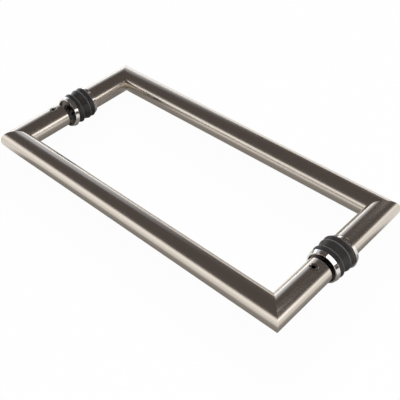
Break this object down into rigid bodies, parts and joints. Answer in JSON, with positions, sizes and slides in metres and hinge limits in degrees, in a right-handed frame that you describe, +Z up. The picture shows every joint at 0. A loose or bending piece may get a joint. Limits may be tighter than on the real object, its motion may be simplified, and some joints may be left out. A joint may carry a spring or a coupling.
{
  "type": "door pull handle",
  "caption": "Back-to-back door pull handle of straight mitred satin steel tube, clamped through the door by studs with polished collars and black rubber rings.",
  "frame": {"origin": "midway between the two studs, on the middle plane of the door that the handles clamp", "axes": "+X along the grips, +Y through the door from the front handle to the rear handle, +Z up as the set lies flat, out of the set screws"},
  "size_m": [0.3304, 0.157, 0.0296],
  "materials": {
    "satin_steel": "satin, brushed along each tube",
    "polished_steel": "polished, with fine turning marks",
    "black_rubber": "moulded, dull black",
    "turned_steel": "turned, plain",
    "stud_steel": "plain bright steel, threaded",
    "screw_steel": "plain steel, lightly oiled"
  },
  "bodies": {
    "root": {"front_grip_tube": "satin_steel", "front_left_collar": "polished_steel", "front_left_gasket": "black_rubber", "front_left_insert": "turned_steel", "front_left_leg": "satin_steel", "front_right_collar": "polished_steel", "front_right_gasket": "black_rubber", "front_right_insert": "turned_steel", "front_right_leg": "satin_steel", "left_middle_ring": "black_rubber", "rear_grip_tube": "satin_steel", "rear_left_collar": "polished_steel", "rear_left_gasket": "black_rubber", "rear_left_insert": "turned_steel", "rear_left_leg": "satin_steel", "rear_right_collar": "polished_steel", "rear_right_gasket": "black_rubber", "rear_right_insert": "turned_steel", "rear_right_leg": "satin_steel", "right_middle_ring": "black_rubber", "set_screws": "screw_steel", "through_studs": "stud_steel"}
  },
  "joints": []
}
